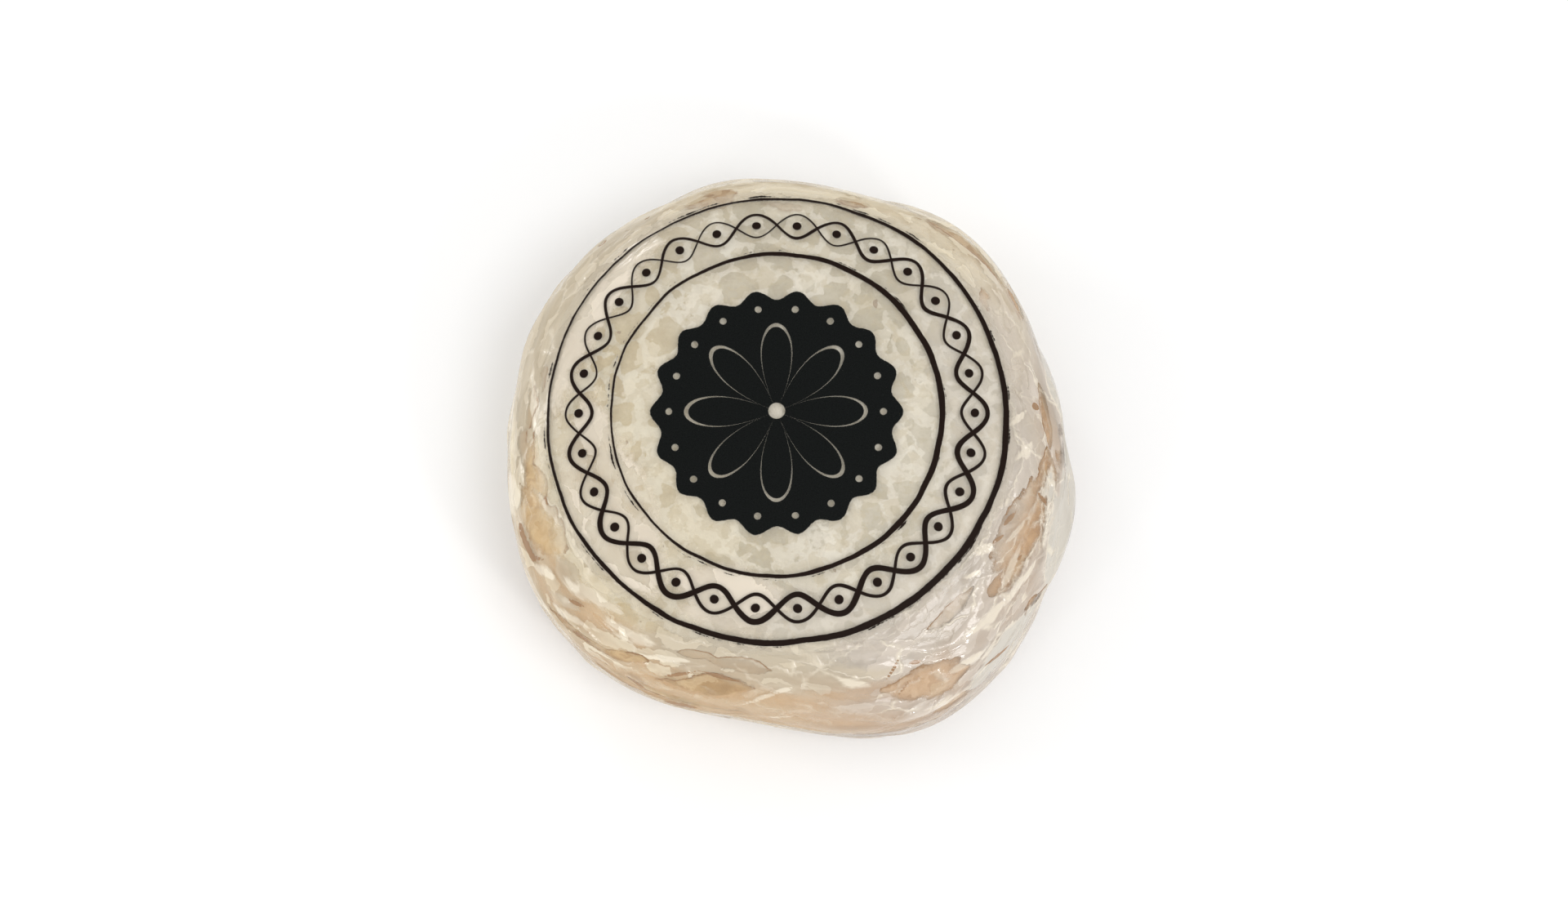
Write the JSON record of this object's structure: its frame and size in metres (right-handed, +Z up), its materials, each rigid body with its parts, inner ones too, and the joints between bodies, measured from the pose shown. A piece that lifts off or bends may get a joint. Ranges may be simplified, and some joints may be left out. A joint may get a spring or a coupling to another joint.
{
  "type": "camembert cheese",
  "caption": "Round soft-ripened cheese with a bloomy rind, wrapped tight in clear wrinkled film with a round printed label on top.",
  "frame": {"origin": "middle of the wheel's outline at the flat it rests on", "axes": "+Z up through the wheel's height, +X to the right and +Y to the back as seen from its front, where the label sits slightly to the back and left"},
  "size_m": [0.1072, 0.1062, 0.0346],
  "materials": {
    "film": "gloss",
    "rind": "matte",
    "label": "satin"
  },
  "bodies": {
    "root": {"wrapped_cheese": "film", "label": "label"}
  },
  "joints": []
}
